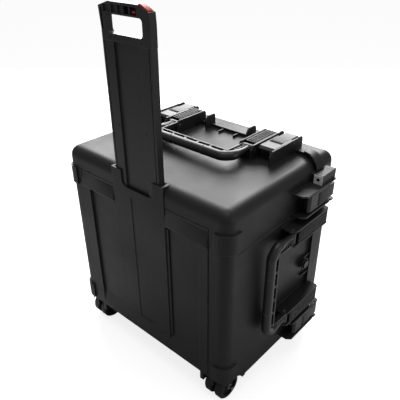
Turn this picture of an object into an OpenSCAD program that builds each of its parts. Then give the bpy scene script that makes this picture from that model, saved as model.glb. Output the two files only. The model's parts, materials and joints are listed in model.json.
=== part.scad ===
// Deep rolling case: a moulded tub and lid standing upright on twin wheels, with a pull handle that
// slides in a sleeve on the tub's floor, three fold-flat carry handles and six cam latches.
// X runs across the case, Y from the pull handle's face to the lid, Z up from the floor.

/* [Case] */
// Width of the tub and lid walls, without the rim
body_w = 650; // [610:10:700]
// Height of the tub and lid walls, without the rim
body_h = 643; // [600:1:700]
// Distance from the pull handle's face to the tub's rim
tub_d = 432; // [400:1:460]
// Distance from the rim to the lid's outer face
lid_d = 86; // [60:1:120]
// Wall thickness
wall = 5; // [4:0.5:6]
// Rounding of the outer edges
edge_r = 32; // [24:1:36]
// Height of the case's underside above the floor
lift = 43; // [38:1:50]

/* [Rim] */
// How far the rim flange stands out from the walls
rim_out = 11; // [9:0.5:14]
// Thickness of each half of the rim flange
rim_t = 18; // [14:0.5:20]
// Corner radius of the rim flange
rim_r = 62; // [45:1:70]
// Height of the guard ribs above the walls
rib_h = 44; // [42:0.5:50]
// Thickness of the guard ribs
rib_t = 5; // [4:0.5:6]

/* [Latches] */
// Width of one cam lever
lever_w = 52; // [44:1:54]
// Length of one cam lever
lever_l = 92; // [80:1:96]
// Offset of the top latches from the middle of the top wall
top_latch_u = 208; // [200:1:214]
// Offset of the side latches from the middle of each side wall
side_latch_u = 233; // [226:1:238]

/* [Carry handles] */
// Width of one carry handle across its arms
bail_w = 338; // [330:1:340]
// Distance from the handle's pivot to the far edge of its grip
bail_l = 112; // [100:1:116]
// Pivot of the top handle, measured from the pull handle's face
top_pivot_y = 304; // [290:1:310]
// Pivot of the side handles, measured from the pull handle's face
side_pivot_y = 254; // [240:1:300]

/* [Pull handle] */
// Width of the sliding panel
panel_w = 175; // [165:1:176]
// Thickness of the sliding panel
panel_t = 20; // [18:0.5:21]
// Height of the panel's lower end above the floor when pulled out
panel_z = 588; // [584:1:620]
// Height of the grip's top above the floor when pulled out
grip_z = 1124; // [1100:1:1140]
// Travel of the release button
button_travel = 3.5; // [2.5:0.1:3.6]

/* [Wheels] */
// Radius of each wheel
wheel_r = 44; // [40:0.5:45]
// Width of each wheel
wheel_w = 28; // [24:0.5:29]

/* [Hidden] */
$fn = 48;

face_y = 2;                       // the tub's floor panel, just behind the frame's front
gap = 0.5;                        // between the two halves of the rim
fit = 0.05;                       // radial clearance of pins in their holes
over = 1;                         // how far a cutting tool runs past the surface it cuts
mid_z = lift + body_h / 2;
top_z = lift + body_h;
lid_y = tub_d + gap;
side_x = body_w / 2;

// Frame, recess and channel for the pull handle
frame_w = 520;
frame_lo = 101;
frame_hi = 624;
recess_w = 452;
recess_lo = 165;
recess_hi = 568;
recess_y = 7;
sleeve_w = 210;
sleeve_lo = 151;
channel_y = 27;
slope_y = 120;

// Wheel pairs
axle_y = 48;
axle_z = wheel_r;
axle_r = 5;
wheel_in_x = side_x - 68;
wheel_out_x = side_x - 30;
notch_x = side_x - 97;
notch_y = 104;
notch_z = 100;

// Latch pivots, in the frame of a wall: along the wall, depth, height above the wall
lever_y = 408;
lever_h = 34;
claw_y = 380;
claw_h = 22;
latch_pin_r = 3;
claw_pin_r = 2.5;
web = 5;
claw_half = lever_w / 2 - web - 0.5;
claw_turn_r = 21;
bail_u = 150;
bail_h = 30;
bail_pin_r = 4;

hinge_z = 14;
hinge_y = tub_d + gap / 2;
hinge_r = 9;
hinge_pin_r = 3;
knuckle = 15;
padlock_r = 5.5;
eye_y = 376;
padlock_z = 647;
padlock_x = side_x + 24;
valve_y = 378;
valve_z = 345;

// Middle of the whole part from front to back, which becomes Y = 0
pad_out = 6;
panel_out = 5;
middle_y = (face_y - pad_out + lid_y + lid_d + panel_out) / 2;

black = [0.11, 0.11, 0.12];
grey = [0.2, 0.2, 0.21];
steel = [0.72, 0.72, 0.74];
red = [0.75, 0.08, 0.08];
rubber = [0.06, 0.06, 0.06];

// ---------- frames and simple shapes ----------

// Moves a finished node from the pull handle's face to the middle of the part
module centred() {
    translate([0, -middle_y, 0]) children();
}

// Places its children on a wall: 0 top, 1 right, 2 left, 3 underside. Local X runs along the wall,
// local Z stands out from it, and Y is the case's own.
module on_wall(side) {
    turn = [0, 90, -90, 180][side];
    place = [[0, 0, top_z], [side_x, 0, mid_z], [-side_x, 0, mid_z], [0, 0, lift]][side];
    translate(place) rotate([0, turn, 0]) children();
}

// Its children and their mirror image across the middle of the case
module pair() {
    for (s = [0, 1]) mirror([s, 0, 0]) children();
}

// A block given by its low corner and its high corner
module span(low, high) {
    translate(low) cube(high - low);
}

// A prism along local X whose outline is given as [y, z] points
module along_x(low, high, outline) {
    translate([low, 0, 0]) rotate([90, 0, 90]) linear_extrude(high - low) polygon(outline);
}

// A round bar along X, centred at x
module bar_x(x, y, z, r, length) {
    translate([x, y, z]) rotate([0, 90, 0]) cylinder(r = r, h = length, center = true);
}

// A round bar along Y, from y_low to y_high
module bar_y(x, y_low, y_high, z, r) {
    translate([x, y_low, z]) rotate([-90, 0, 0]) cylinder(r = r, h = y_high - y_low);
}

// Outline of a rounded rectangle about the middle of the case, in X and Z
module case_outline(w, h, r) {
    translate([0, mid_z]) {
        square([w - 2 * r, h], center = true);
        square([w, h - 2 * r], center = true);
        for (sx = [-1, 1], sz = [-1, 1])
            translate([sx * (w / 2 - r), sz * (h / 2 - r)]) circle(r);
    }
}

// The outline above as a plate between two depths
module case_plate(w, h, r, y_low, y_high) {
    translate([0, y_high, 0]) rotate([90, 0, 0]) linear_extrude(y_high - y_low) case_outline(w, h, r);
}

// A dish with rounded edges: closed at y_low, open at y_high
module dish(w, h, r, y_low, y_high) {
    case_plate(w, h, r, y_low + r, y_high);
    translate([0, y_low + r, mid_z]) {
        cube([w - 2 * r, 2 * r, h - 2 * r], center = true);
        for (sz = [-1, 1]) bar_x(0, 0, sz * (h / 2 - r), r, w - 2 * r);
        for (sx = [-1, 1]) {
            translate([sx * (w / 2 - r), 0, 0]) cylinder(r = r, h = h - 2 * r, center = true);
            for (sz = [-1, 1]) translate([sx * (w / 2 - r), 0, sz * (h / 2 - r)]) sphere(r);
        }
    }
}

// ---------- tub ----------

// The block of space that one wheel housing takes from the tub, grown by extra
module wheel_notch(extra) {
    for (s = [-1, 1]) mirror([s < 0 ? 1 : 0, 0, 0])
        span([notch_x - extra, -over, lift - over - edge_r],
            [side_x + over, notch_y + extra, notch_z + extra]);
}

// The channel that the sleeve and the pull handle lie in, grown by extra
module handle_channel(extra) {
    span([-sleeve_w / 2 - 0.3 - extra, -over, sleeve_lo - 1 - extra],
        [sleeve_w / 2 + 0.3 + extra, channel_y + extra, top_z + rim_out]);
}

module tub_cavity() {
    inner_y = recess_y + wall;
    difference() {
        dish(body_w - 2 * wall, body_h - 2 * wall, edge_r - wall, inner_y, tub_d + over);
        handle_channel(wall);
        wheel_notch(wall);
        underside_slope(wall);
    }
}

// Space cut off the underside between the wheel housings, so that it clears the floor when tilted
module underside_slope(extra) {
    rise = 1.1 * extra;
    along_x(-notch_x + extra, notch_x - extra, [[-over, 0], [-over, frame_lo - 8 + rise],
        [face_y, frame_lo - 8 + rise], [slope_y, lift + rise], [slope_y, 0]]);
}

// Raised frame round the recess: its upper and lower bands slope outward as they go down
module floor_frame() {
    half = frame_w / 2;
    along_x(-half, half, [[0, frame_lo + 3], [3, frame_lo], [face_y + wall, frame_lo],
        [face_y + wall, frame_hi], [face_y + 1, frame_hi], [0, recess_hi + 4]]);
}

module floor_recess() {
    half = recess_w / 2;
    along_x(-half, half, [[-over, recess_lo - 52], [0, recess_lo - 52], [recess_y, recess_lo],
        [recess_y, recess_hi - 4], [0, recess_hi], [-over, recess_hi]]);
}

// Narrow groove that sets the frame off from the tub's floor
module frame_groove() {
    groove = 3;
    half = frame_w / 2;
    for (s = [-1, 1]) translate([s * (half + groove / 2), 0, (frame_lo + frame_hi + groove) / 2])
        cube([groove, 2 * (face_y + 2), frame_hi - frame_lo + groove], center = true);
    span([-half - groove, -over, frame_hi], [half + groove, face_y + 2, frame_hi + groove]);
}

// Pads wrapped round the upright edges beside the pull handle's face
module corner_pads() {
    intersection() {
        dish(body_w + 2 * pad_out, body_h + 2 * pad_out, edge_r + pad_out, face_y - pad_out, tub_d / 2);
        for (s = [-1, 1], z = [frame_hi - 57, notch_z])
            translate([s * (side_x - 4), 22, z + 28.5]) cube([80, 60, 57], center = true);
    }
}

// A guard rib on a wall: upright near end with its corner cut off, level crest, blunt far end
module guard_rib(u, y_start) {
    along_x(u - rib_t / 2, u + rib_t / 2, [[y_start, -wall / 2], [y_start, rib_h - 14],
        [y_start + 12, rib_h], [tub_d - 6, rib_h], [tub_d, rib_h - 6], [tub_d, -wall / 2]]);
}

// The pair of guard ribs of a latch, and the stop bar under the lever's free end
module latch_cell(u) {
    reach = lever_w / 2 + 7;
    for (s = [-1, 1]) guard_rib(u + s * reach, 283);
    span([u - reach, 334, -wall / 2], [u + reach, 341, 15]);
}

// The pair of ribs that carry one arm of a handle, and the cover over the space behind the arm
module handle_bracket(u, pivot_y) {
    reach = 24;
    for (s = [-1, 1]) guard_rib(u + s * reach, pivot_y - 14);
    span([u - reach, pivot_y + 16, rib_h - 6], [u + reach, tub_d - 4, rib_h - 2]);
    for (t = [-12, -4, 4, 12]) span([u + t - 1.5, pivot_y + 20, rib_h - 3], [u + t + 1.5, tub_d - 8, rib_h]);
}

// Everything that one wall carries for its latches and its handle, drilled for their pins
module wall_fittings(latch_u, pivot_y) {
    difference() {
        for (s = [-1, 1]) {
            latch_cell(s * latch_u);
            handle_bracket(s * bail_u, pivot_y);
        }
        for (s = [-1, 1]) {
            bar_x(s * latch_u, lever_y, lever_h, latch_pin_r, lever_w + 34);
            bar_x(s * bail_u, pivot_y, bail_h, bail_pin_r, 68);
        }
    }
}

// Knuckles of one hinge on the underside; every second one belongs to the lid
module knuckles(first, side) {
    low_y = side < 0 ? hinge_y - hinge_r : tub_d + gap + 0.25;
    high_y = side < 0 ? tub_d - 0.25 : hinge_y + hinge_r;
    for (k = [first:2:4]) {
        x = (k - 2) * knuckle;
        bar_x(x, hinge_y, hinge_z, hinge_r, knuckle - 0.6);
        span([x - knuckle / 2 + 0.3, low_y, hinge_z],
            [x + knuckle / 2 - 0.3, high_y, lift - rim_out + over]);
    }
}

module hinges(first, side) {
    for (s = [-1, 1]) translate([s * 110, 0, 0]) difference() {
        knuckles(first, side);
        bar_x(0, hinge_y, hinge_z, hinge_pin_r + fit, 6 * knuckle);
    }
}

// Eye for a padlock's shackle beside the rim, on both sides
module padlock_eye(y_low, y_high) {
    for (s = [-1, 1]) difference() {
        translate([s * (side_x + 18), (y_low + y_high) / 2, padlock_z])
            cube([40, y_high - y_low, 29], center = true);
        bar_y(s * padlock_x, y_low - over, y_high + over, padlock_z, padlock_r);
    }
}

// Stands near the rim that carry the rubber feet
module foot_stands() {
    for (s = [-1, 1]) {
        for (u = [183, 234]) span([s * u - 3, 388, 7], [s * u + 3, tub_d - 2, lift + wall / 2]);
        span([min(s * 180, s * 237), 388, 7], [max(s * 180, s * 237), tub_d - 2, 13]);
    }
}

module rim_gussets() {
    for (u = [-30, 30])
        span([u - 2, tub_d - 44, top_z - wall / 2], [u + 2, tub_d - rim_t + over, top_z + 8]);
    for (s = [-1, 1], u = [-70, 0, 70])
        translate([s * (side_x + 3), tub_d - 36, mid_z + u]) cube([10, 40, 4], center = true);
}

module tub() color(black) difference() {
    union() {
        difference() {
            union() {
                dish(body_w, body_h, edge_r, face_y, tub_d);
                case_plate(body_w + 2 * rim_out, body_h + 2 * rim_out, rim_r, tub_d - rim_t, tub_d);
                floor_frame();
                corner_pads();
                for (s = [-1, 1]) span([s * side_x - 1.2, 42, 553], [s * side_x + 1.2, 284, 555]);
                on_wall(0) wall_fittings(top_latch_u, top_pivot_y);
                on_wall(1) wall_fittings(side_latch_u, side_pivot_y);
                on_wall(2) wall_fittings(side_latch_u, side_pivot_y);
                on_wall(0) for (s = [-1, 1]) guard_rib(s * 84, 385);
                rim_gussets();
                bar_x(side_x + 2, valve_y, valve_z, 19, 8);
                foot_stands();
                hinges(0, -1);
                padlock_eye(eye_y, tub_d);
            }
            floor_recess();
            frame_groove();
            tub_cavity();
        }
    }
    handle_channel(0);
    wheel_notch(0);
    underside_slope(0);
    bar_x(side_x, valve_y, valve_z, 9, 60);
}

// ---------- lid ----------

// Raised border and ribs on the lid's outer face
module lid_panel() {
    low = lid_y + lid_d - edge_r / 2;
    high = lid_y + lid_d + panel_out;
    for (k = [-2:2]) translate([k * 100, (low + high) / 2, mid_z])
        cube([44, high - low, body_h - 190], center = true);
}

module lid_shell() {
    translate([0, 2 * lid_y + lid_d, 0]) mirror([0, 1, 0])
        dish(body_w, body_h, edge_r, lid_y, lid_y + lid_d);
}

module lid_guard(u) {
    along_x(u - rib_t / 2, u + rib_t / 2, [[lid_y, -wall / 2], [lid_y, rib_h - 2], [lid_y + 4, rib_h],
        [lid_y + 14, rib_h], [lid_y + 19, rib_h - 7], [lid_y + rim_t, rim_out], [lid_y + rim_t, -wall / 2]]);
}

module lid_guards(latch_u) {
    for (s = [-1, 1], t = [-1, 1]) lid_guard(s * latch_u + t * (lever_w / 2 + 7));
}

module seal_ring(inset_y, length, slack) {
    difference() {
        case_plate(body_w + 10 + slack, body_h + 10 + slack, edge_r + 5, inset_y, inset_y + length);
        case_plate(body_w - 3 - slack, body_h - 3 - slack, edge_r - 1.5,
            inset_y - over, inset_y + length + over);
    }
}

module lid() color(black) difference() {
    union() {
        lid_shell();
        case_plate(body_w + 2 * rim_out, body_h + 2 * rim_out, rim_r, lid_y, lid_y + rim_t);
        lid_panel();
        on_wall(0) lid_guards(top_latch_u);
        on_wall(1) lid_guards(side_latch_u);
        on_wall(2) lid_guards(side_latch_u);
        hinges(1, 1);
        padlock_eye(lid_y, lid_y + rim_t);
    }
    translate([0, 2 * lid_y + lid_d, 0]) mirror([0, 1, 0])
        dish(body_w - 2 * wall, body_h - 2 * wall, edge_r - wall, lid_y + wall, lid_y + lid_d + over);
    seal_ring(lid_y - over, 5 + over, 0.4);
}

module lid_seal() color(rubber) seal_ring(tub_d, 5 + gap - 0.1, 0);

module hinge_pins() color(steel) for (s = [-1, 1])
    bar_x(s * 110, hinge_y, hinge_z, hinge_pin_r, 5 * knuckle);

// ---------- fittings on the case ----------

module padlock_plate(y_low) {
    for (s = [-1, 1]) difference() {
        translate([s * padlock_x, y_low + 1, padlock_z]) cube([27, 2, 27], center = true);
        bar_y(s * padlock_x, y_low - over, y_low + 2 + over, padlock_z, padlock_r);
    }
}

module tub_padlock_plates() color(steel) padlock_plate(eye_y - 2);

module lid_padlock_plates() color(steel) padlock_plate(lid_y + rim_t);

module valve_body() color(black) difference() {
    union() {
        bar_x(side_x - 1, valve_y, valve_z, 8.8, 26);
        bar_x(side_x + 10, valve_y, valve_z, 16, 4);
    }
    bar_x(side_x + 8, valve_y, valve_z, 6.05, 24);
    bar_x(side_x, valve_y, valve_z, 2, 60);
}

module valve_seal() color(rubber) difference() {
    bar_x(side_x + 7, valve_y, valve_z, 14, 2);
    bar_x(side_x + 7, valve_y, valve_z, 9, 4);
}

module valve_nut() color(black) difference() {
    translate([side_x - wall - 3, valve_y, valve_z]) rotate([0, 90, 0])
        cylinder(r = 15, h = 6, center = true, $fn = 6);
    bar_x(side_x - wall - 3, valve_y, valve_z, 8.8, 8);
}

module valve_knob() color(grey) difference() {
    union() {
        bar_x(side_x + 16.1, valve_y, valve_z, 13, 8);
        bar_x(side_x + 5, valve_y, valve_z, 6, 15);
    }
    for (k = [0:11]) rotate_about_valve(k * 30) bar_x(side_x + 16.1, valve_y + 14, valve_z, 2.2, 10);
}

// Turns its children about the valve's axis
module rotate_about_valve(angle) {
    translate([0, valve_y, valve_z]) rotate([angle, 0, 0]) translate([0, -valve_y, -valve_z]) children();
}

module rubber_feet() color(rubber) for (s = [-1, 1])
    span([min(s * 180, s * 237), 388, 0], [max(s * 180, s * 237), tub_d - 2, 7]);

// ---------- latches ----------

// Latches 1 and 2 sit on the top wall, 3 and 4 on the right, 5 and 6 on the left
module at_latch(n) {
    side = floor((n - 1) / 2);
    sign = n % 2 == 1 ? 1 : -1;
    on_wall(side) translate([sign * (side == 0 ? top_latch_u : side_latch_u), 0, 0]) children();
}

// One side web of a lever, with the boss that turns on the latch pin
module lever_web() {
    half = lever_w / 2;
    along_x(half - web, half, [[lever_y - 48, 37], [claw_y - 8, 18], [claw_y, 16], [claw_y + 6, 18],
        [lever_y - 2, 28], [lever_y, 37]]);
    bar_x(half - web / 2, lever_y, lever_h, 7, web);
}

// The plate is open between the webs near the pivot: the claw swings through the opening
module latch_lever(n) color(grey) at_latch(n) {
    half = lever_w / 2;
    tip_y = lever_y - lever_l - 5;
    difference() {
        union() {
            along_x(-half, half, [[tip_y, 30], [tip_y + 2, 30], [tip_y + 8, 36], [lever_y, 36],
                [lever_y, 41], [tip_y + 8, 41], [tip_y, 35]]);
            pair() lever_web();
        }
        span([-claw_half - 0.5, claw_y - claw_turn_r - 2, 20], [claw_half + 0.5, lever_y + over, 42]);
        bar_x(0, lever_y, lever_h, latch_pin_r + fit, lever_w + 2);
        bar_x(0, claw_y, claw_h, claw_pin_r + fit, lever_w + 2);
    }
}

module latch_claw(n) color(grey) at_latch(n) {
    bar_x(0, claw_y, claw_h, claw_pin_r, lever_w - 1);
    intersection() {
        bar_x(0, claw_y, claw_h, claw_turn_r, 2 * claw_half);
        along_x(-claw_half, claw_half, [[claw_y - 5, claw_h - 5], [claw_y + 8, claw_h - 5],
            [claw_y + 8, 41], [claw_y - 20, 41], [claw_y - 20, 36], [claw_y - 5, 36]]);
    }
    along_x(-claw_half, claw_half, [[claw_y, 17], [claw_y + 7, 17], [claw_y + 7, 36], [lid_y + 13, 36],
        [lid_y + 13, 20], [lid_y + 8, 17], [lid_y + 10, rim_out + 0.7], [lid_y + 16, rim_out + 0.7],
        [lid_y + 19, 17], [lid_y + 19, 38], [lid_y + 16, 41], [claw_y, 41]]);
}

module latch_1_lever() latch_lever(1);
module latch_1_claw() latch_claw(1);
module latch_2_lever() latch_lever(2);
module latch_2_claw() latch_claw(2);
module latch_3_lever() latch_lever(3);
module latch_3_claw() latch_claw(3);
module latch_4_lever() latch_lever(4);
module latch_4_claw() latch_claw(4);
module latch_5_lever() latch_lever(5);
module latch_5_claw() latch_claw(5);
module latch_6_lever() latch_lever(6);
module latch_6_claw() latch_claw(6);

// Two stub pins to a latch, each held in a guard rib
module latch_pins() color(steel) for (n = [1:6], s = [-1, 1]) {
    low = lever_w / 2 - web;
    high = lever_w / 2 + 6 + rib_t / 2;
    at_latch(n) bar_x(s * (low + high) / 2, lever_y, lever_h, latch_pin_r, high - low);
}

// ---------- carry handles ----------

// Flat outline of the handle, in the wall's X and depth measured from the pivot
module bail_outline() {
    half = bail_w / 2;
    arm = 38;
    cut = 24;
    difference() {
        polygon([[-half, 0], [-half, -bail_l + cut], [-half + cut, -bail_l], [half - cut, -bail_l],
            [half, -bail_l + cut], [half, 0]]);
        polygon([[-half + arm, over], [-half + arm, -bail_l + 56], [-half + arm + 12, -bail_l + 44],
            [half - arm - 12, -bail_l + 44], [half - arm, -bail_l + 56], [half - arm, over]]);
    }
}

module carry_handle(side, pivot_y) color(grey) on_wall(side) translate([0, pivot_y, 0]) {
    half = bail_w / 2;
    slot = 40;
    difference() {
        union() {
            translate([0, 0, bail_h - 8]) linear_extrude(16) bail_outline();
            bar_x(0, -bail_l + 14, bail_h - 1, 14, bail_w - 60);
            for (s = [-1, 1]) bar_x(s * (half - 19), 0, bail_h, 10, 38);
        }
        for (k = [-2:2]) translate([k * 50, -bail_l + 36, bail_h + 7]) cube([slot, 8, 20], center = true);
        for (s = [-1, 1]) {
            translate([s * (half - 20), -bail_l + 76, bail_h + 8]) cube([20, 36, 16], center = true);
            bar_x(s * (half - 19), 0, bail_h, bail_pin_r + fit, 50);
        }
    }
}

module top_handle() carry_handle(0, top_pivot_y);
module right_handle() carry_handle(1, side_pivot_y);
module left_handle() carry_handle(2, side_pivot_y);

module handle_pins() color(steel) for (side = [0:2], s = [-1, 1])
    on_wall(side) bar_x(s * bail_u, side == 0 ? top_pivot_y : side_pivot_y, bail_h, bail_pin_r, 48 + rib_t);

// ---------- pull handle ----------

sleeve_t = 4;
slide_y = sleeve_t + 0.3;         // front of the sliding panel
slide_back = slide_y + panel_t;
rail_w = 42;
rod_x = 76;
link_x = rod_x + 4;
rod_y = slide_y + panel_t / 2;
rod_r = 3;
rail_screw_z = 819;
head_lo = grip_z - 90;
hole_lo = grip_z - 72;
hole_left = -69;
hole_right = 61;
hole_hi = grip_z - 28;
link_z = grip_z - 21;
button_x = 81;
mouth_w = 126;
mouth_z = top_z - 50;

module sleeve_mouth() {
    r = 20;
    span([-mouth_w / 2, -over, mouth_z + r], [mouth_w / 2, sleeve_t + over, top_z + over]);
    span([-mouth_w / 2 + r, -over, mouth_z], [mouth_w / 2 - r, sleeve_t + over, mouth_z + 2 * r]);
    for (s = [-1, 1]) bar_y(s * (mouth_w / 2 - r), -over, sleeve_t + over, mouth_z + r, r);
}

sleeve_screw_z = [190, 340, 492];

module sleeve() color(black) difference() {
    half = sleeve_w / 2;
    union() {
        span([-half, 0, sleeve_lo], [half, sleeve_t, top_z]);
        pair() {
            span([panel_w / 2 + 8.5, 0, sleeve_lo], [half, channel_y - 0.2, top_z]);
            span([panel_w / 2 + 0.5, sleeve_t, sleeve_lo], [half, channel_y - 0.2, panel_z + 22]);
            span([half - over, 3, recess_lo + 1], [half + 10, recess_y, recess_hi - 8]);
        }
    }
    sleeve_mouth();
    span([-30, -over, sleeve_lo + 12], [30, 1.5, mouth_z - 28]);
    for (s = [-1, 1], z = sleeve_screw_z) bar_y(s * (half + 5.5), 2, recess_y + over, z, 2);
}

module sleeve_screws() color(steel) for (s = [-1, 1], z = sleeve_screw_z) {
    bar_y(s * (sleeve_w / 2 + 5.5), 1.6, 3, z, 3.4);
    bar_y(s * (sleeve_w / 2 + 5.5), 2.5, recess_y, z, 1.95);
}

module pull_panel() color(black) difference() {
    half = panel_w / 2;
    union() {
        pair() span([half - rail_w, slide_y, panel_z], [half, slide_back, head_lo]);
        span([-half + rail_w - over, slide_y + 5, panel_z], [half - rail_w + over, slide_y + 11, head_lo]);
        for (z = [panel_z, (panel_z + head_lo) / 2 - 6, head_lo - 12])
            span([-half + rail_w - over, slide_y + 5, z], [half - rail_w + over, slide_back, z + 12]);
    }
    pair() {
        translate([rod_x, rod_y, panel_z + 8]) cylinder(r = rod_r + 0.5, h = head_lo);
        span([rod_x - 9.5, rod_y - 5.3, panel_z + 7.7], [half + over, rod_y + 5.3, panel_z + 24.3]);
        translate([half - 8, slide_y, panel_z + 60]) cube([3, 4, 2 * (head_lo - panel_z)], center = true);
        bar_y(53, slide_y - over, slide_y + 12, rail_screw_z, 2.5);
    }
}

// Outline of the grip head, in X and Z, with both upper corners cut off
module head_outline() {
    half = panel_w / 2;
    polygon([[-half, head_lo], [-half, grip_z - 62], [-half - 5, grip_z - 12], [-55, grip_z], [52, grip_z],
        [half - 2, grip_z - 13], [half, grip_z - 40], [half, head_lo]]);
}

module head_plate(y_low, y_high) {
    translate([0, y_high, 0]) rotate([90, 0, 0]) linear_extrude(y_high - y_low) children();
}

module hand_hole() {
    r = 9;
    span([hole_left + r, 0, hole_lo], [hole_right - r, 40, hole_hi]);
    span([hole_left, 0, hole_lo + r], [hole_right, 40, hole_hi - r]);
    for (x = [hole_left + r, hole_right - r], z = [hole_lo + r, hole_hi - r]) bar_y(x, 0, 40, z, r);
}

// Open cells moulded into the front of the grip head: [x_low, x_high, z_low, z_high]
head_cells = [[-85, -79, -64, -16], [-74, -48, -24, -8], [-44, -26, -24, -6], [-22, -4, -24, -6],
    [0, 18, -24, -6], [22, 44, -24, -6]];

module grip_head() color(black) difference() {
    head_plate(slide_y, slide_back + 1) head_outline();
    hand_hole();
    for (c = head_cells)
        span([c[0], 0, grip_z + c[2]], [c[1], slide_y + (c[0] < 0 ? 4.5 : 11), grip_z + c[3]]);
    // space for the release link and its travel
    span([-link_x - 2, slide_y + 13, link_z - button_travel - 0.5],
        [link_x + 2, slide_y + 17.5, link_z + 6.5]);
    span([22, slide_y + 4, link_z - button_travel - 0.5], [44, slide_y + 14, link_z + 6.5]);
    span([-link_x - 2, slide_y + 6, link_z - button_travel - 0.5], [14 - link_x, slide_y + 14, link_z + 6.5]);
    // pocket for the release button
    span([49.6, slide_y + 1.2, link_z + 5.5 - button_travel],
        [button_x + 0.4, slide_back - 1.7, grip_z + 5]);
    span([54, slide_y + 3, link_z - button_travel - 0.5], [84, slide_y + 17.5, grip_z - 10]);
    translate([60, slide_y + 8, grip_z - 42]) cylinder(r = 4, h = 30);
    for (s = [-1, 1]) {
        translate([s * rod_x, rod_y, head_lo - over]) cylinder(r = rod_r + 0.5, h = link_z - head_lo + 5);
        bar_y(s * 56, slide_y - over, slide_y + 12, head_lo + 8, 2.5);
    }
}

module screw(x, z) {
    bar_y(x, slide_y + 0.5, slide_y + 3, z, 2.4);
    bar_y(x, slide_y + 2.5, slide_y + 11, z, 1.6);
}

module grip_screws() color(steel) for (s = [-1, 1]) {
    screw(s * 56, head_lo + 8);
    screw(s * 53, rail_screw_z);
}

module release_button() color(red) head_plate(slide_y + 1.6, slide_back - 2.1)
    polygon([[50, link_z + 6], [50, grip_z + 2], [54, grip_z + 3], [58, grip_z + 2.2],
        [button_x - 2, grip_z - 7.5], [button_x, grip_z - 9.5], [button_x, link_z + 6]]);

module button_spring() color(steel) translate([60, slide_y + 8, grip_z - 42])
    linear_extrude(link_z - grip_z + 42, twist = -360 * 5, slices = 60)
        translate([2.2, 0]) circle(0.9, $fn = 6);

module release_link() color(red) {
    span([-link_x, slide_y + 13.5, link_z], [link_x, slide_y + 17, link_z + 6]);
    span([24, slide_y + 5, link_z], [34, slide_y + 14, link_z + 6]);
    span([54.5, slide_y + 4, link_z], [79.5, slide_y + 14, link_z + 6]);
    span([-link_x, slide_y + 7, link_z], [12 - link_x, slide_y + 14, link_z + 6]);
}

module push_rods() color(steel) for (s = [-1, 1])
    translate([s * rod_x, rod_y, panel_z + 22]) cylinder(r = rod_r, h = link_z - panel_z - 22);

// Bolt whose slope turns the push of a rod into a pull inward
module right_lock_bolt() color(steel) translate([0, rod_y + 5, 0]) rotate([90, 0, 0]) linear_extrude(10)
    polygon([[rod_x - 5, panel_z + 8], [panel_w / 2 - 0.5, panel_z + 8], [panel_w / 2 - 0.5, panel_z + 14],
        [rod_x + 5, panel_z + 14], [rod_x - 5, panel_z + 24]]);

module left_lock_bolt() mirror([1, 0, 0]) right_lock_bolt();

// ---------- wheels ----------

// Cheek of a wheel housing, with a round lobe that carries the axle below the case
module cheek(x_low, x_high) {
    along_x(x_low, x_high, [[face_y, lift - 4], [face_y + 12, lift - 12], [axle_y + 34, lift - 12],
        [notch_y - 0.4, lift], [notch_y - 0.4, notch_z - 0.4], [face_y, notch_z - 0.4]]);
    bar_x((x_low + x_high) / 2, axle_y, axle_z - 2, 17, x_high - x_low);
}

wheel_gap = wheel_w / 2 + 1.2;
cheeks = [[notch_x + 0.4, wheel_in_x - wheel_gap], [wheel_in_x + wheel_gap, wheel_out_x - wheel_gap],
    [wheel_out_x + wheel_gap, side_x]];

// Upright column whose outer front edge is rounded like the tub's
module corner_column() {
    linear_extrude(notch_z) {
        translate([notch_x, face_y + edge_r]) square([side_x - notch_x, notch_y]);
        translate([notch_x, face_y]) square([side_x - notch_x - edge_r, notch_y]);
        translate([side_x - edge_r, face_y + edge_r]) circle(edge_r);
    }
}

housing_screw_x = [wheel_in_x, wheel_out_x];

module housing() difference() {
    intersection() {
        union() {
            for (c = cheeks) cheek(c[0], c[1]);
            span([notch_x + 0.4, face_y, notch_z - 8], [side_x, notch_y - 0.4, notch_z - 0.4]);
            span([notch_x + 0.4, notch_y - 8, lift], [side_x, notch_y - 0.4, notch_z - 0.4]);
        }
        corner_column();
    }
    bar_x(side_x - 46, axle_y, axle_z, axle_r, 86);
    for (x = [wheel_in_x, wheel_out_x]) bar_x(x, axle_y, axle_z, wheel_r + 3, 2 * wheel_gap);
    for (x = housing_screw_x) translate([x, 88, notch_z - 9]) cylinder(r = 2.2, h = 10);
}

module right_housing() color(black) housing();
module left_housing() color(black) mirror([1, 0, 0]) housing();

module housing_screws() color(steel) for (s = [-1, 1], x = housing_screw_x) {
    translate([s * x, 88, notch_z - 8]) cylinder(r = 2.15, h = 7.6);
    translate([s * x, 88, notch_z - 10.5]) cylinder(r = 4, h = 2.5);
}

module axles() color(steel) for (s = [-1, 1]) bar_x(s * (side_x - 46), axle_y, axle_z, axle_r, 85);

wheel_x = [-wheel_out_x, -wheel_in_x, wheel_in_x, wheel_out_x];
tread = 8;

module tyre(n) color(rubber) translate([wheel_x[n], axle_y, axle_z]) rotate([0, 90, 0])
    rotate_extrude($fn = 96)
        polygon([[wheel_r - tread, -wheel_w / 2 + 1], [wheel_r - 3, -wheel_w / 2 + 1],
            [wheel_r, -wheel_w / 2 + 5], [wheel_r, wheel_w / 2 - 5], [wheel_r - 3, wheel_w / 2 - 1],
            [wheel_r - tread, wheel_w / 2 - 1]]);

module hub(n) color(grey) difference() {
    rim_in = wheel_r - tread - 5;
    bar_x(wheel_x[n], axle_y, axle_z, wheel_r - tread, wheel_w);
    for (s = [-1, 1]) translate([wheel_x[n] + s * (wheel_w / 2), axle_y, axle_z]) rotate([0, 90, 0])
        difference() {
            cylinder(r = rim_in, h = 2 * 8, center = true);
            cylinder(r = 12, h = 20, center = true);
        }
    bar_x(wheel_x[n], axle_y, axle_z, 8, wheel_w + 2);
}

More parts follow.
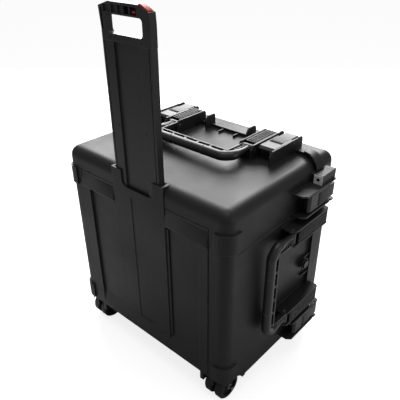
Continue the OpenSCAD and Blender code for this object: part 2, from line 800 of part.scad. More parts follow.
module bush(n) color(steel) difference() {
    bar_x(wheel_x[n], axle_y, axle_z, 8, wheel_w + 0.6);
    bar_x(wheel_x[n], axle_y, axle_z, axle_r + fit, wheel_w + 2);
}

module wheel_1_tyre() tyre(0);
module wheel_1_hub() hub(0);
module wheel_1_bush() bush(0);
module wheel_2_tyre() tyre(1);
module wheel_2_hub() hub(1);
module wheel_2_bush() bush(1);
module wheel_3_tyre() tyre(2);
module wheel_3_hub() hub(2);
module wheel_3_bush() bush(2);
module wheel_4_tyre() tyre(3);
module wheel_4_hub() hub(3);
module wheel_4_bush() bush(3);

centred() tub();
centred() lid();
centred() lid_seal();
centred() hinge_pins();
centred() tub_padlock_plates();
centred() lid_padlock_plates();
centred() valve_body();
centred() valve_seal();
centred() valve_nut();
centred() valve_knob();
centred() rubber_feet();
centred() latch_1_lever();
centred() latch_1_claw();
centred() latch_2_lever();
centred() latch_2_claw();
centred() latch_3_lever();
centred() latch_3_claw();
centred() latch_4_lever();
centred() latch_4_claw();
centred() latch_5_lever();
centred() latch_5_claw();
centred() latch_6_lever();
centred() latch_6_claw();
centred() latch_pins();
centred() top_handle();
centred() right_handle();
centred() left_handle();
centred() handle_pins();
centred() sleeve();
centred() sleeve_screws();
centred() pull_panel();
centred() grip_head();
centred() grip_screws();
centred() release_button();
centred() button_spring();
centred() release_link();
centred() push_rods();
centred() right_lock_bolt();
centred() left_lock_bolt();
centred() right_housing();
centred() left_housing();
centred() housing_screws();
centred() axles();
centred() wheel_1_tyre();
centred() wheel_1_hub();
centred() wheel_1_bush();
centred() wheel_2_tyre();
centred() wheel_2_hub();
centred() wheel_2_bush();
centred() wheel_3_tyre();
centred() wheel_3_hub();
centred() wheel_3_bush();
centred() wheel_4_tyre();
centred() wheel_4_hub();
centred() wheel_4_bush();
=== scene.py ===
import json
import math

import bmesh
import bpy
from mathutils import Matrix, Vector

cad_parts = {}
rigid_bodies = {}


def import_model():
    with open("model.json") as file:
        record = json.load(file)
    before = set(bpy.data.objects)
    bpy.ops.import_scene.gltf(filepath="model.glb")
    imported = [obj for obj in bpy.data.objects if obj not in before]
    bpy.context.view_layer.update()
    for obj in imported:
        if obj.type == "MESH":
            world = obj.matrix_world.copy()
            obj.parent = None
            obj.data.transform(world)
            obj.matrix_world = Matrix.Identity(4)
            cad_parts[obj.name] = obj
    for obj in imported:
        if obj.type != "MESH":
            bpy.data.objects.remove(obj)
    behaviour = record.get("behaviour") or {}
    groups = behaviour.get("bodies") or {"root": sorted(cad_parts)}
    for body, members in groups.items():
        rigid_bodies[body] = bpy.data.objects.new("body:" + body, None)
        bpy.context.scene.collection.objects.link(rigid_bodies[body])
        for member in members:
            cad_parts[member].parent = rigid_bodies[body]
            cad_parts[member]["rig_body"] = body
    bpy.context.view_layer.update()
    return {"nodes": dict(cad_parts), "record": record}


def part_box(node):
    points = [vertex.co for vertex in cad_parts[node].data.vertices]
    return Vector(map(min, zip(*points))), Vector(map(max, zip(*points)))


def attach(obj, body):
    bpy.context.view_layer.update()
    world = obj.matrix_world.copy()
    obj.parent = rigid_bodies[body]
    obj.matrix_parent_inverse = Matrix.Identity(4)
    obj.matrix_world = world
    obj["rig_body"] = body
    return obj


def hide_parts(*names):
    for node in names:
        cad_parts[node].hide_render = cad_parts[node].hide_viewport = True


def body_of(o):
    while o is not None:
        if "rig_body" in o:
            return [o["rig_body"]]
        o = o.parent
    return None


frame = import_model()
print("Frame loaded")

# camera: a long lens a little above the case, seen from its front right corner

view = {
    "place": (0.9211, -1.0189, 1.2840),
    "azimuth": 42.25,
    "elevation": 30.78,
    "roll": -0.54,
    "lens": 43.71,
    "shift": (0.0029, 0.0229),
}


def makeCamera():
    data = bpy.data.cameras.new("viewCamera")
    data.sensor_width = 36
    data.lens = view["lens"]
    data.shift_x, data.shift_y = view["shift"]
    data.clip_start, data.clip_end = 0.05, 60
    camera = bpy.data.objects.new("viewCamera", data)
    bpy.context.collection.objects.link(camera)
    azimuth, elevation = math.radians(view["azimuth"]), math.radians(view["elevation"])
    back = Vector((math.sin(azimuth) * math.cos(elevation),
                   -math.cos(azimuth) * math.cos(elevation), math.sin(elevation)))
    side = Vector((math.cos(azimuth), math.sin(azimuth), 0))
    up = back.cross(side)
    turn = Matrix((side, up, back)).transposed() @ Matrix.Rotation(math.radians(view["roll"]), 3, "Z")
    camera.matrix_world = Matrix.Translation(view["place"]) @ turn.to_4x4()
    bpy.context.scene.camera = camera


makeCamera()
print("Camera placed")

# shader groups that the finishes share


def makeGroup(name, inputs, outputs):
    tree = bpy.data.node_groups.new(name, "ShaderNodeTree")
    for label, value in inputs.items():
        socket = tree.interface.new_socket(label, in_out="INPUT", socket_type="NodeSocketFloat")
        socket.default_value = value
    for label, kind in outputs.items():
        tree.interface.new_socket(label, in_out="OUTPUT", socket_type=kind)
    return tree, tree.nodes.new("NodeGroupInput"), tree.nodes.new("NodeGroupOutput")


def addNode(tree, kind, values=None, **settings):
    node = tree.nodes.new(kind)
    for name, value in settings.items():
        setattr(node, name, value)
    for name, value in (values or {}).items():
        node.inputs[name].default_value = value
    return node


def makeMouldedFinish():
    # fine grain of a textured mould, broad uneven sheen, and small rubbed spots
    tree, given, result = makeGroup("mouldedFinish", {"Grain Scale": 900, "Spot Scale": 45},
                                    {"Height": "NodeSocketFloat", "Sheen": "NodeSocketFloat",
                                     "Spots": "NodeSocketFloat"})
    place = addNode(tree, "ShaderNodeTexCoord")
    grain = addNode(tree, "ShaderNodeTexNoise", {"Detail": 3.0, "Roughness": 0.6})
    sheen = addNode(tree, "ShaderNodeTexNoise", {"Scale": 5.0, "Detail": 4.0, "Roughness": 0.55})
    spots = addNode(tree, "ShaderNodeTexNoise", {"Detail": 6.0, "Roughness": 0.7})
    cut = addNode(tree, "ShaderNodeMapRange", {"From Min": 0.6, "From Max": 0.75})
    for texture in (grain, sheen, spots):
        tree.links.new(place.outputs["Object"], texture.inputs["Vector"])
    tree.links.new(given.outputs["Grain Scale"], grain.inputs["Scale"])
    tree.links.new(given.outputs["Spot Scale"], spots.inputs["Scale"])
    tree.links.new(spots.outputs["Fac"], cut.inputs["Value"])
    tree.links.new(grain.outputs["Fac"], result.inputs["Height"])
    tree.links.new(sheen.outputs["Fac"], result.inputs["Sheen"])
    tree.links.new(cut.outputs["Result"], result.inputs["Spots"])
    return tree


def makeSoftEdge():
    # rounds the shading of sharp edges, and marks where they are, in patches, for the painted edge
    # highlight
    tree, given, result = makeGroup("softEdge", {"Radius": 0.0015, "Unevenness": 60},
                                    {"Normal": "NodeSocketVector", "Edge": "NodeSocketFloat"})
    bevel = addNode(tree, "ShaderNodeBevel", samples=4)
    face = addNode(tree, "ShaderNodeNewGeometry")
    turn = addNode(tree, "ShaderNodeVectorMath", operation="DOT_PRODUCT")
    mask = addNode(tree, "ShaderNodeMapRange", {"From Min": 0.99, "From Max": 0.86})
    place = addNode(tree, "ShaderNodeTexCoord")
    patch = addNode(tree, "ShaderNodeTexNoise", {"Detail": 3.0})
    share = addNode(tree, "ShaderNodeMapRange", {"From Min": 0.3, "From Max": 0.55})
    both = addNode(tree, "ShaderNodeMath", operation="MULTIPLY")
    tree.links.new(given.outputs["Radius"], bevel.inputs["Radius"])
    tree.links.new(bevel.outputs["Normal"], turn.inputs[0])
    tree.links.new(face.outputs["Normal"], turn.inputs[1])
    tree.links.new(turn.outputs["Value"], mask.inputs["Value"])
    tree.links.new(place.outputs["Object"], patch.inputs["Vector"])
    tree.links.new(given.outputs["Unevenness"], patch.inputs["Scale"])
    tree.links.new(patch.outputs["Fac"], share.inputs["Value"])
    tree.links.new(mask.outputs["Result"], both.inputs[0])
    tree.links.new(share.outputs["Result"], both.inputs[1])
    tree.links.new(bevel.outputs["Normal"], result.inputs["Normal"])
    tree.links.new(both.outputs["Value"], result.inputs["Edge"])
    return tree


mouldedFinish = makeMouldedFinish()
softEdge = makeSoftEdge()

# finishes: colour in shade and in the open, colour of the painted edge highlight, range of roughness,
# relief

finishes = {
    "shell": {"dark": 0.010, "light": 0.016, "edgeHighlight": 0.085, "rough": (0.40, 0.56), "specular": 0.34,
              "grain": 1100, "relief": 0.10, "radius": 0.0022, "tint": (1.0, 1.0, 1.03)},
    "latch": {"dark": 0.012, "light": 0.020, "edgeHighlight": 0.070, "rough": (0.34, 0.48), "specular": 0.36,
              "grain": 900, "relief": 0.05, "radius": 0.0018, "tint": (1.0, 1.0, 1.03)},
    "handle": {"dark": 0.013, "light": 0.022, "edgeHighlight": 0.095, "rough": (0.28, 0.40), "specular": 0.46,
               "grain": 800, "relief": 0.07, "radius": 0.0026, "tint": (1.0, 1.0, 1.03)},
    "sleeve": {"dark": 0.011, "light": 0.018, "edgeHighlight": 0.080, "rough": (0.42, 0.55), "specular": 0.30,
               "grain": 1000, "relief": 0.07, "radius": 0.0012, "tint": (1.0, 1.0, 1.03)},
    "panel": {"dark": 0.015, "light": 0.030, "edgeHighlight": 0.080, "rough": (0.34, 0.46), "specular": 0.34,
              "grain": 1400, "relief": 0.03, "radius": 0.0012, "tint": (1.0, 1.0, 1.03)},
    "housing": {"dark": 0.008, "light": 0.013, "edgeHighlight": 0.040, "rough": (0.42, 0.58), "specular": 0.30,
                "grain": 1000, "relief": 0.08, "radius": 0.0018, "tint": (1.0, 1.0, 1.03)},
    "rubber": {"dark": 0.008, "light": 0.015, "edgeHighlight": 0.040, "rough": (0.60, 0.78), "specular": 0.25,
               "grain": 700, "relief": 0.15, "radius": 0.0010, "tint": (1.0, 1.0, 1.0)},
    "tyre": {"dark": 0.008, "light": 0.014, "edgeHighlight": 0.045, "rough": (0.38, 0.55), "specular": 0.35,
             "grain": 600, "relief": 0.08, "radius": 0.0016, "tint": (1.0, 1.0, 1.0)},
    # pale non-metal colour on the steel plates: a painted reflection in place of the steel's bright
    # reflection
    "plate": {"dark": 0.55, "light": 0.70, "edgeHighlight": 0.85, "rough": (0.34, 0.46), "specular": 0.60,
              "grain": 1500, "relief": 0.04, "radius": 0.0008, "tint": (1.0, 1.0, 1.0)},
    "red": {"dark": 0.42, "light": 0.55, "edgeHighlight": 0.75, "rough": (0.26, 0.36), "specular": 0.45,
            "grain": 900, "relief": 0.03, "radius": 0.0010, "tint": (1.0, 0.10, 0.07)},
}

metals = {
    "pinSteel": {"colour": (0.46, 0.46, 0.47), "rough": (0.28, 0.44),
                 "stretch": (40, 700, 700), "radius": 0.0005},
    "screwSteel": {"colour": (0.035, 0.035, 0.037), "rough": (0.30, 0.45),
                   "stretch": (300, 300, 300), "radius": 0.0004},
}


def grey(value, tint=(1, 1, 1)):
    return (value * tint[0], value * tint[1], value * tint[2], 1)


def mixColour(tree, factor, first, second):
    mix = addNode(tree, "ShaderNodeMix", data_type="RGBA")
    tree.links.new(factor, mix.inputs[0])
    for socket, colour in ((mix.inputs[6], first), (mix.inputs[7], second)):
        if isinstance(colour, tuple):
            socket.default_value = colour
        else:
            tree.links.new(colour, socket)
    return mix.outputs[2]


def makePlastic(name, look):
    material = bpy.data.materials.new(name)
    material.use_nodes = True
    tree = material.node_tree
    shader = tree.nodes["Principled BSDF"]
    finish = addNode(tree, "ShaderNodeGroup", {"Grain Scale": look["grain"]}, node_tree=mouldedFinish)
    edge = addNode(tree, "ShaderNodeGroup", {"Radius": look["radius"]}, node_tree=softEdge)
    tint = look["tint"]
    body = mixColour(tree, finish.outputs["Sheen"], grey(look["dark"], tint), grey(look["light"], tint))
    # paler colour along sharp edges, in patches: a painted edge highlight
    edgeHighlight = mixColour(tree, edge.outputs["Edge"], body, grey(look["edgeHighlight"], tint))
    rough = addNode(tree, "ShaderNodeMapRange", {"From Min": 0.3, "From Max": 0.7,
                                                 "To Min": look["rough"][0], "To Max": look["rough"][1]})
    spotted = addNode(tree, "ShaderNodeMath", operation="MULTIPLY_ADD")
    spotted.inputs[1].default_value = -0.07          # rubbed spots are a little smoother
    bump = addNode(tree, "ShaderNodeBump", {"Strength": look["relief"], "Distance": 0.001})
    tree.links.new(finish.outputs["Sheen"], rough.inputs["Value"])
    tree.links.new(finish.outputs["Spots"], spotted.inputs[0])
    tree.links.new(rough.outputs["Result"], spotted.inputs[2])
    tree.links.new(finish.outputs["Height"], bump.inputs["Height"])
    tree.links.new(edge.outputs["Normal"], bump.inputs["Normal"])
    tree.links.new(edgeHighlight, shader.inputs["Base Color"])
    tree.links.new(spotted.outputs["Value"], shader.inputs["Roughness"])
    tree.links.new(bump.outputs["Normal"], shader.inputs["Normal"])
    shader.inputs["Specular IOR Level"].default_value = look["specular"]
    return material


def makeMetal(name, look):
    material = bpy.data.materials.new(name)
    material.use_nodes = True
    tree = material.node_tree
    shader = tree.nodes["Principled BSDF"]
    shader.inputs["Metallic"].default_value = 1
    place = addNode(tree, "ShaderNodeTexCoord")
    stretch = addNode(tree, "ShaderNodeMapping", {"Scale": look["stretch"]})
    lines = addNode(tree, "ShaderNodeTexNoise", {"Scale": 1.0, "Detail": 4.0, "Roughness": 0.65})
    edge = addNode(tree, "ShaderNodeGroup", {"Radius": look["radius"]}, node_tree=softEdge)
    rough = addNode(tree, "ShaderNodeMapRange", {"To Min": look["rough"][0], "To Max": look["rough"][1]})
    bump = addNode(tree, "ShaderNodeBump", {"Strength": 0.08, "Distance": 0.0005})
    colour = look["colour"]
    brushed = mixColour(tree, lines.outputs["Fac"], tuple(c * 0.82 for c in colour) + (1,), colour + (1,))
    tree.links.new(place.outputs["Object"], stretch.inputs["Vector"])
    tree.links.new(stretch.outputs["Vector"], lines.inputs["Vector"])
    tree.links.new(lines.outputs["Fac"], rough.inputs["Value"])
    tree.links.new(lines.outputs["Fac"], bump.inputs["Height"])
    tree.links.new(edge.outputs["Normal"], bump.inputs["Normal"])
    tree.links.new(brushed, shader.inputs["Base Color"])
    tree.links.new(rough.outputs["Result"], shader.inputs["Roughness"])
    tree.links.new(bump.outputs["Normal"], shader.inputs["Normal"])
    return material


materials = {name: makePlastic(name + "Plastic", look) for name, look in finishes.items()}
materials.update({name: makeMetal(name, look) for name, look in metals.items()})

# which finish each slot of the record takes
slotFinish = {
    "shell": "shell", "rubber": "rubber", "pin_steel": "pinSteel", "plate_steel": "plate",
    "knob": "latch", "latch": "latch", "handle": "handle", "sleeve": "sleeve", "pull_handle": "panel",
    "screw": "screwSteel", "button": "red", "mechanism": "pinSteel", "housing": "housing",
    "axle": "pinSteel", "tyre": "tyre", "hub": "tyre", "bush": "pinSteel",
}


def dressFrame():
    for part in frame["record"]["subparts"]:
        node = frame["nodes"][part["node"]]
        node.data.materials.clear()
        node.data.materials.append(materials[slotFinish[part["material_slot"]]])


dressFrame()
print("Finishes given to", len(frame["nodes"]), "nodes")

# mesh helpers for the pieces below


def pieceFrom(build, name, finish, body, place=None):
    # turns a bmesh into a finished piece that rides on a body of the frame
    bmesh.ops.remove_doubles(build, verts=build.verts, dist=0.00002)
    bmesh.ops.recalc_face_normals(build, faces=build.faces)
    if place is not None:
        bmesh.ops.transform(build, matrix=place, verts=build.verts)
        if place.determinant() < 0:
            bmesh.ops.reverse_faces(build, faces=build.faces)
    mesh = bpy.data.meshes.new(name)
    build.to_mesh(mesh)
    build.free()
    mesh.materials.append(materials[finish])
    piece = bpy.data.objects.new(name, mesh)
    bpy.context.collection.objects.link(piece)
    for face in mesh.polygons:
        face.use_smooth = True
    mesh.set_sharp_from_angle(angle=math.radians(40))
    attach(piece, body)
    return piece


def addBar(build, start, end, width, low, high, rounding):
    # a bar between two points of the u, v plane, from one height to another, with softened edges
    start, end = Vector(start + (0,)), Vector(end + (0,))
    along = end - start
    size = Matrix.Diagonal((along.length, width, high - low, 1))
    turn = Matrix.Rotation(math.atan2(along.y, along.x), 4, "Z")
    middle = Matrix.Translation((start + end) / 2 + Vector((0, 0, (low + high) / 2)))
    made = bmesh.ops.create_cube(build, size=1, matrix=middle @ turn @ size)
    edges = {edge for vert in made["verts"] for edge in vert.link_edges}
    bmesh.ops.bevel(build, geom=list(edges), offset=rounding, affect="EDGES", segments=2,
                    profile=0.5, material=-1)


def addRod(build, centre, axis, radius, length, rounding, sides=28):
    turn = Vector((0, 0, 1)).rotation_difference(Vector(axis)).to_matrix().to_4x4()
    made = bmesh.ops.create_cone(build, cap_ends=True, segments=sides, radius1=radius, radius2=radius,
                                 depth=length, matrix=Matrix.Translation(centre) @ turn)
    rims = {edge for vert in made["verts"] for edge in vert.link_edges
            if any(len(face.verts) > 4 for face in edge.link_faces)}
    bmesh.ops.bevel(build, geom=list(rims), offset=rounding, affect="EDGES", segments=3,
                    profile=0.5, material=-1)


def pushLoop(build, loop, offset, scale=1.0, centre=None):
    # extrudes an open loop of edges and returns the new one
    made = bmesh.ops.extrude_edge_only(build, edges=loop)["geom"]
    verts = [item for item in made if isinstance(item, bmesh.types.BMVert)]
    bmesh.ops.translate(build, verts=verts, vec=offset)
    if centre is not None:
        bmesh.ops.scale(build, verts=verts, vec=(scale, scale, scale),
                        space=Matrix.Translation(-Vector(centre)))
    new = set(verts)
    return [item for item in made if isinstance(item, bmesh.types.BMEdge) and set(item.verts) <= new]


def turnLoop(build, loop, centre, angle, steps):
    verts = list({vert for edge in loop for vert in edge.verts})
    made = bmesh.ops.spin(build, geom=loop + verts, cent=centre, axis=(0, 0, 1), angle=angle, steps=steps)
    return [item for item in made["geom_last"] if isinstance(item, bmesh.types.BMEdge)]


# carry handles: a round grip whose corners are cut off, and an inner rim with slots between

carryHandle = {
    "half": 0.169, "reach": 0.112, "gripRadius": 0.0142, "armRadius": 0.0085, "gripHeight": 0.029,
    "bend": 0.024, "corner": 0.024, "taperStep": 0.012, "armEnd": 0.004,
    "slotPitch": 0.050, "slotLand": 0.008, "rimWidth": 0.0055, "rimTop": 0.0385,
    "rimInset": 0.0262, "armInset": 0.0235, "cells": (-0.046, -0.034, -0.022, -0.010),
    "seam": 0.064, "seamProud": 0.0009, "seamWidth": 0.0020,
    "hubRadius": 0.0098, "hubLength": 0.037, "pinHeight": 0.030, "wallGap": 0.015,
}


def makeCarryHandle(name, node, body, place):
    size = carryHandle
    build = bmesh.new()
    gripV = -size["reach"] + size["gripRadius"]
    bend, height = size["bend"], size["gripHeight"]
    armU = size["half"] - size["gripRadius"]
    slack = bend * math.tan(math.radians(22.5))
    chamfer = size["corner"]
    bendStart = armU - chamfer - slack
    # round grip: half of it, then its mirror image
    turn = Matrix.Translation((0, gripV, height)) @ Matrix.Rotation(math.radians(90), 4, "Y")
    ring = bmesh.ops.create_circle(build, cap_ends=False, segments=28,
                                   radius=size["gripRadius"], matrix=turn)
    loop = list({edge for vert in ring["verts"] for edge in vert.link_edges})
    loop = pushLoop(build, loop, (bendStart, 0, 0))
    loop = turnLoop(build, loop, (bendStart, gripV + bend, 0), math.radians(45), 8)
    run = chamfer * math.sqrt(2) - 2 * slack
    loop = pushLoop(build, loop, (run * math.sqrt(0.5), run * math.sqrt(0.5), 0))
    loop = turnLoop(build, loop, (armU - bend, gripV + chamfer + slack, 0), math.radians(45), 8)
    # the arm narrows in three steps, then runs straight to the hinge
    armStart = gripV + chamfer + slack
    taper, step = (size["armRadius"] / size["gripRadius"]) ** (1 / 3), size["taperStep"]
    for count in (1, 2, 3):
        loop = pushLoop(build, loop, (0, step, 0), taper, (armU, armStart + step * count, height))
    loop = pushLoop(build, loop, (0, -size["armEnd"] - (armStart + 3 * step), 0))
    bmesh.ops.contextual_create(build, geom=loop)
    # seams round the grip
    addRod(build, (size["seam"], gripV, height), (1, 0, 0), size["gripRadius"] + size["seamProud"],
           size["seamWidth"], 0.0005)
    # inner rim, lands between the slots and the floor under them
    inner = gripV + size["rimInset"]
    innerU = armU - size["armInset"]
    land, pitch, top = size["slotLand"], size["slotPitch"], size["rimTop"]
    addBar(build, (0, inner), (innerU, inner), size["rimWidth"], 0.021, top, 0.0012)
    addBar(build, (innerU, inner - 0.002), (innerU, -size["armEnd"]), size["rimWidth"], 0.019, top, 0.0012)
    addBar(build, (0, gripV + 0.018), (innerU + 0.004, gripV + 0.018), 0.016, 0.017, 0.020, 0.0008)
    for k in (0.5, 1.5, 2.5):
        addBar(build, (k * pitch, gripV + 0.010), (k * pitch, inner), land, 0.018, top - 0.0012, 0.0010)
    # corner pocket with its slanting rib, then the arm's floor and its small square cells
    addBar(build, (innerU, inner), (armU - 0.006, gripV + 0.022), 0.0035, 0.019, top - 0.0005, 0.0008)
    floorU = armU - 0.011
    addBar(build, (floorU, armStart - 0.028), (floorU, -size["armEnd"]), 0.020, 0.019, 0.0245, 0.0008)
    addBar(build, (floorU, -0.046), (floorU, -0.006), 0.0028, 0.022, top - 0.002, 0.0006)
    for v in size["cells"]:
        addBar(build, (innerU, v), (armU - 0.004, v), 0.0030, 0.022, top - 0.002, 0.0006)
    # hub on the pin
    addRod(build, (armU - 0.0055, 0, size["pinHeight"]), (1, 0, 0), size["hubRadius"],
           size["hubLength"], 0.0012)
    bmesh.ops.mirror(build, geom=build.verts[:] + build.edges[:] + build.faces[:], axis="X",
                     merge_dist=0.00002)
    piece = pieceFrom(build, name, "handle", body, place)
    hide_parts(node)
    return piece


def makeCarryHandles():
    gap, reach = carryHandle["wallGap"], carryHandle["reach"]
    low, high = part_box("top_handle")
    makeCarryHandle("topCarryHandle", "top_handle", "top_carry_handle",
                    Matrix.Translation((0, low[1] + reach, low[2] - gap)))
    low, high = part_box("right_handle")
    middle, wall = (low[2] + high[2]) / 2, low[0] - gap
    turn = Matrix(((0, 0, 1, wall), (0, 1, 0, low[1] + reach), (-1, 0, 0, middle), (0, 0, 0, 1)))
    makeCarryHandle("rightCarryHandle", "right_handle", "right_carry_handle", turn)
    low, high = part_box("left_handle")
    wall = high[0] + gap
    turn = Matrix(((0, 0, -1, wall), (0, 1, 0, low[1] + reach), (1, 0, 0, middle), (0, 0, 0, 1)))
    makeCarryHandle("leftCarryHandle", "left_handle", "left_carry_handle", turn)


makeCarryHandles()
print("Carry handles made")

# copies of small moulded parts with softened edges

softWidth = {"lever": 0.0016, "claw": 0.0012, "button": 0.0012, "housing": 0.0014}


def softenEdges(piece, width, segments, sharp):
    bevel = piece.modifiers.new("softEdges", "BEVEL")
    bevel.width, bevel.segments = width, segments
    bevel.limit_method, bevel.angle_limit = "ANGLE", math.radians(sharp)


def copyNode(node, name, finish):
    source = frame["nodes"][node]
    build = bmesh.new()
    build.from_mesh(source.data)
    bmesh.ops.transform(build, matrix=source.matrix_world, verts=build.verts)
    bmesh.ops.remove_doubles(build, verts=build.verts, dist=0.00002)
    bmesh.ops.dissolve_limit(build, angle_limit=math.radians(1), verts=build.verts, edges=build.edges)
    piece = pieceFrom(build, name, finish, body_of(source)[0])
    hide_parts(node)
    return piece


for number in range(1, 7):
    lever = copyNode(f"latch_{number}_lever", f"latchLever{number}", "latch")
    softenEdges(lever, softWidth["lever"], 3, 30)
    claw = copyNode(f"latch_{number}_claw", f"latchClaw{number}", "latch")
    softenEdges(claw, softWidth["claw"], 2, 30)
button = copyNode("release_button", "releaseButton", "red")
softenEdges(button, softWidth["button"], 3, 30)
print("Small parts softened")

# wheel housings cut back so that the twin wheels show, as the moulded ones are

wheelHousing = {"skirt": 0.062, "ear": 0.015, "faceGap": 0.0012, "tyreGap": 0.0025, "cheekDepth": 0.03}
cutReach = {"side": 0.4, "ends": 0.08}       # the cutters reach this far past the housing


def makeCutter(build):
    mesh = bpy.data.meshes.new("cutter")
    bmesh.ops.recalc_face_normals(build, faces=build.faces)
    build.to_mesh(mesh)
    build.free()
    cutter = bpy.data.objects.new("cutter", mesh)
    bpy.context.collection.objects.link(cutter)
    return cutter


def carve(piece, cutter):
    # cuts one closed mesh out of another for good and removes the cutter
    cut = piece.modifiers.new("carve", "BOOLEAN")
    cut.object = cutter
    cut.operation = "DIFFERENCE"
    cut.solver = "EXACT"
    ready = piece.evaluated_get(bpy.context.evaluated_depsgraph_get())
    mesh = bpy.data.meshes.new_from_object(ready)
    piece.modifiers.clear()
    piece.data = mesh
    bpy.data.objects.remove(cutter)


def addBlock(build, low, high):
    middle = [(a + b) / 2 for a, b in zip(low, high)]
    size = [b - a for a, b in zip(low, high)]
    bmesh.ops.create_cube(build, size=1, matrix=Matrix.Translation(middle) @ Matrix.Diagonal((*size, 1)))


def makeHousing(node, name, outerWheel, sign):
    size = wheelHousing
    low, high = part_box(outerWheel)
    axleY, axleZ = (low[1] + high[1]) / 2, (low[2] + high[2]) / 2
    reach = high[2] - axleZ
    face = high[0] + size["faceGap"] if sign > 0 else low[0] - size["faceGap"]
    depth, side, ends = size["cheekDepth"], cutReach["side"], cutReach["ends"]
    piece = copyNode(node, name, "housing")
    for front, back in ((axleY - ends, axleY - size["ear"]), (axleY + size["ear"], axleY + ends)):
        build = bmesh.new()
        addBlock(build, (-side, front, 0.0), (side, back, size["skirt"]))
        carve(piece, makeCutter(build))
    build = bmesh.new()
    addRod(build, (face + sign * depth / 2, axleY, axleZ), (1, 0, 0), reach + size["tyreGap"],
           depth, 0.001, 48)
    carve(piece, makeCutter(build))
    softenEdges(piece, softWidth["housing"], 2, 35)


makeHousing("right_housing", "rightHousing", "wheel_4_tyre", 1)
makeHousing("left_housing", "leftHousing", "wheel_1_tyre", -1)
print("Housings made")

# thick rolled band round the upper corners of the tub's rim

rimBand = {"radius": 0.062, "from": 25, "to": 92, "steps": 24, "heights": (0.0065, 0.0100, 0.0035),
           "depths": (0.036, 0.030, 0.018), "lean": 0.007, "rounding": 0.0030,
           "rimEdge": 0.006, "sink": 0.0015}


def blend3(values, share):
    # a smooth curve through three values, at 0, a half and 1
    first, middle, last = values
    rest = 1 - share
    return first * rest * (rest - share) + 4 * middle * share * rest + last * share * (share - rest)


def makeRimBand(name, sign):
    size = rimBand
    low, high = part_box("lid_seal")
    rimEdge, sink = size["rimEdge"], size["sink"]      # the rim stands rimEdge outside the seal
    radius = size["radius"]
    centre = Vector((high[0] + rimEdge - radius, low[1], high[2] + rimEdge - radius))
    start, sweep = math.radians(size["from"]), math.radians(size["to"] - size["from"])
    build = bmesh.new()
    unit = 0.01                                        # size of the section before it is shaped
    corners = [build.verts.new((radius + out * unit, -ahead * unit, 0)) for out, ahead in
               ((0, 0), (1, 0), (1, 1), (0, 1))]
    build.faces.new(corners)
    bmesh.ops.rotate(build, verts=corners, cent=(0, 0, 0), matrix=Matrix.Rotation(-start, 3, "Y"))
    bmesh.ops.spin(build, geom=build.faces[:] + build.edges[:] + build.verts[:], cent=(0, 0, 0),
                   axis=(0, -1, 0), angle=sweep, steps=size["steps"])
    for vert in build.verts:
        flat = Vector((vert.co.x, 0, vert.co.z))
        share = (math.atan2(flat.z, flat.x) - start) / sweep
        out, ahead = (flat.length - radius) / unit, -vert.co.y / unit
        place = flat.normalized() * (radius - sink + out * (blend3(size["heights"], share) + sink))
        place.y = -ahead * blend3(size["depths"], share) - out * ahead * size["lean"] * (1 - share)
        vert.co = centre + place
        vert.co.x *= sign
    piece = pieceFrom(build, name, "shell", "case")
    bevel = piece.modifiers.new("rounding", "BEVEL")
    bevel.width, bevel.segments = size["rounding"], 4
    bevel.limit_method, bevel.angle_limit = "ANGLE", math.radians(50)


makeRimBand("rightRimBand", 1)
makeRimBand("leftRimBand", -1)

# lighter sloping bands over the recesses on both sides of the sleeve

frameBand = {"inner": 0.1075, "outer": 0.2585, "low": 0.5690, "high": 0.6225, "lip": 0.0036,
             "lipHeight": 0.004, "lipDraft": 0.0012, "root": 0.0028, "rounding": 0.0007}


def makeFrameBand(name, sign):
    size = frameBand
    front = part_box("sleeve")[0][1]
    build = bmesh.new()
    root, face = front + size["root"], front - size["lip"]
    outline = [(root, size["high"]), (face, size["low"] + size["lipHeight"]),
               (face + size["lipDraft"], size["low"]), (root, size["low"])]
    start = min(sign * size["inner"], sign * size["outer"])
    verts = [build.verts.new((start, y, z)) for y, z in outline]
    made = bmesh.ops.extrude_face_region(build, geom=[build.faces.new(verts)])["geom"]
    length = size["outer"] - size["inner"]
    far = [item for item in made if isinstance(item, bmesh.types.BMVert)]
    bmesh.ops.translate(build, verts=far, vec=(length, 0, 0))
    bmesh.ops.bevel(build, geom=build.edges[:], offset=size["rounding"], affect="EDGES", segments=2,
                    profile=0.5, material=-1)
    pieceFrom(build, name, "shell", "case")


makeFrameBand("rightFrameBand", 1)
makeFrameBand("leftFrameBand", -1)

# ring round the purge knob

valveRing = {"radius": 0.0178, "thickness": 0.0016, "inset": 0.006}


def makeValveRing():
    size = valveRing
    low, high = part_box("valve_knob")
    centre = Vector((high[0] - size["inset"], (low[1] + high[1]) / 2, (low[2] + high[2]) / 2))
    build = bmesh.new()
    place = Matrix.Translation(centre + Vector((0, size["radius"], 0)))
    ring = bmesh.ops.create_circle(build, segments=12, radius=size["thickness"], matrix=place)
    loop = list({edge for vert in ring["verts"] for edge in vert.link_edges})
    bmesh.ops.spin(build, geom=loop + ring["verts"], cent=centre, axis=(1, 0, 0),
                   angle=math.radians(360), steps=48, use_merge=True)
    pieceFrom(build, "valveRing", "latch", "valve")


makeValveRing()

# screw heads on the pull handle, nearly flush so that they pass behind the sleeve

screwHead = {"shank": 0.0024, "railX": 0.053, "radius": 0.0046, "height": 0.0022, "sunk": 0.00065,
             "bossRadius": 0.0030, "bossHeight": 0.0012}


def makeScrewHeads():
    size = screwHead
    low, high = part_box("grip_screws")
    build = bmesh.new()
    shank, front = size["shank"], low[1]
    places = [(high[0] - shank, high[2] - shank), (size["railX"], low[2] + shank)]
    for x, z in places:
        for sign in (-1, 1):
            addRod(build, (sign * x, front + size["sunk"], z), (0, 1, 0), size["radius"],
                   size["height"], 0.0006, 20)
            addRod(build, (sign * x, front, z), (0, 1, 0), size["bossRadius"],
                   size["bossHeight"], 0.0005, 16)
    pieceFrom(build, "screwHeads", "rubber", "pull_handle")


makeScrewHeads()
print("Bands, rings and screws made")

# stage: a pale floor and soft light from above and behind

stage = {
    "floorSize": 20, "floorShade": 0.55, "floorRough": 0.9, "floorGlow": 0.8, "surroundings": 0.28,
}

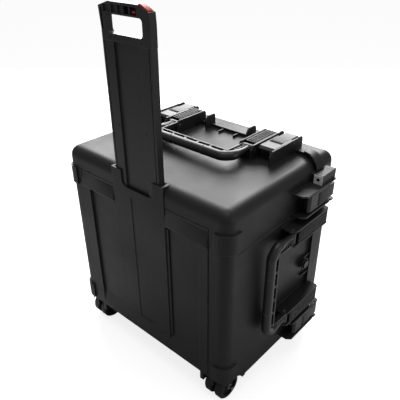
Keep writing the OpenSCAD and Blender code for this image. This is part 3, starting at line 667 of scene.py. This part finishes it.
softboxes = {
    "backSoftbox": {"place": (-1.5, 1.8, 2.0), "target": (0, 0, 0.6), "size": (3.0, 2.0), "power": 150},
    "topSoftbox": {"place": (0.3, -0.2, 3.2), "target": (0, 0, 0.6), "size": (2.0, 2.0), "power": 25},
    "sideSoftbox": {"place": (3.0, 0.6, 1.2), "target": (0, 0, 0.5), "size": (1.6, 1.6), "power": 10},
}


def litForCamera(tree, plain, shown):
    # the second value where the camera looks straight at it, the first for every other ray
    path = addNode(tree, "ShaderNodeLightPath")
    mix = addNode(tree, "ShaderNodeMix", data_type="FLOAT")
    mix.inputs[2].default_value = plain
    mix.inputs[3].default_value = shown
    tree.links.new(path.outputs["Is Camera Ray"], mix.inputs[0])
    return mix.outputs[0]


def makeFloor():
    mesh = bpy.data.meshes.new("floor")
    build = bmesh.new()
    bmesh.ops.create_grid(build, x_segments=1, y_segments=1, size=stage["floorSize"])
    build.to_mesh(mesh)
    build.free()
    floor = bpy.data.objects.new("floor", mesh)
    bpy.context.collection.objects.link(floor)
    material = bpy.data.materials.new("paleFloor")
    material.use_nodes = True
    tree = material.node_tree
    shader = tree.nodes["Principled BSDF"]
    shade = stage["floorShade"]
    shader.inputs["Base Color"].default_value = (shade, shade, shade, 1)
    shader.inputs["Roughness"].default_value = stage["floorRough"]
    shader.inputs["Emission Color"].default_value = (1, 1, 1, 1)
    tree.links.new(litForCamera(tree, 0.0, stage["floorGlow"]), shader.inputs["Emission Strength"])
    mesh.materials.append(material)


def makeSurroundings():
    world = bpy.data.worlds.new("studio")
    bpy.context.scene.world = world
    world.use_nodes = True
    sky = world.node_tree.nodes["Background"]
    sky.inputs["Color"].default_value = (1, 1, 1, 1)
    strength = litForCamera(world.node_tree, stage["surroundings"], 1.0)
    world.node_tree.links.new(strength, sky.inputs["Strength"])


def makeSoftbox(name, box):
    data = bpy.data.lights.new(name, "AREA")
    data.shape = "RECTANGLE"
    data.size, data.size_y = box["size"]
    data.energy = box["power"]
    light = bpy.data.objects.new(name, data)
    light.location = box["place"]
    aim = Vector(box["target"]) - Vector(box["place"])
    light.rotation_euler = aim.to_track_quat("-Z", "Y").to_euler()
    bpy.context.collection.objects.link(light)


makeFloor()
makeSurroundings()
for boxName, box in softboxes.items():
    makeSoftbox(boxName, box)
bpy.context.scene.view_settings.view_transform = "Standard"
print("Stage lit")
